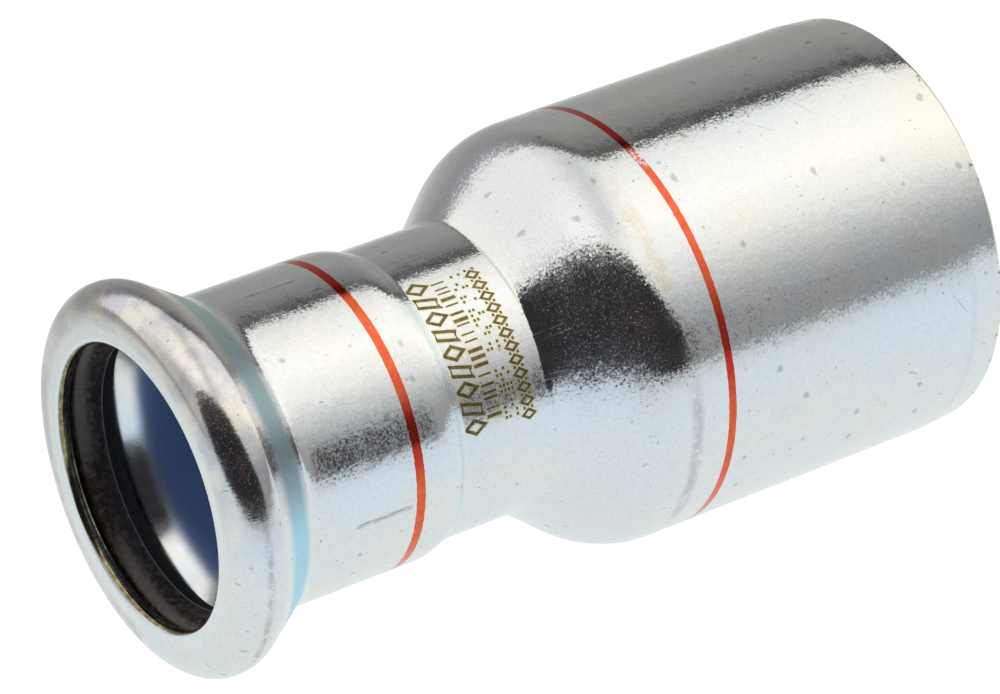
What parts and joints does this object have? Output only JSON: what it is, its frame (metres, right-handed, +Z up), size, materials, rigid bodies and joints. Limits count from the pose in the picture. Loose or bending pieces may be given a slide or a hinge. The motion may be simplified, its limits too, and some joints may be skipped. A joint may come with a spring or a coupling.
{
  "type": "concentric reducer",
  "caption": "Press-fit concentric pipe reducer: plain 35 mm end, drawn-down shoulder and neck, 22 mm socket with a sealing ring held in the bead at its mouth.",
  "frame": {"origin": "on the flow axis, half-way between the plain end's face and the socket mouth's face", "axes": "+X along the flow axis, from the socket mouth towards the plain end; the part is round about it; +Z up, as it lies on its side on a table"},
  "size_m": [0.0706, 0.035, 0.035],
  "materials": {
    "plating": "bright zinc plating over drawn steel, finely grained",
    "elastomer": "moulded black elastomer, soft sheen",
    "marker_ink": "thin printed red ink"
  },
  "bodies": {
    "root": {"reducer_body": "plating", "sealing_ring": "elastomer", "spigot_marker_line": "marker_ink", "socket_marker_line": "marker_ink"}
  },
  "joints": []
}
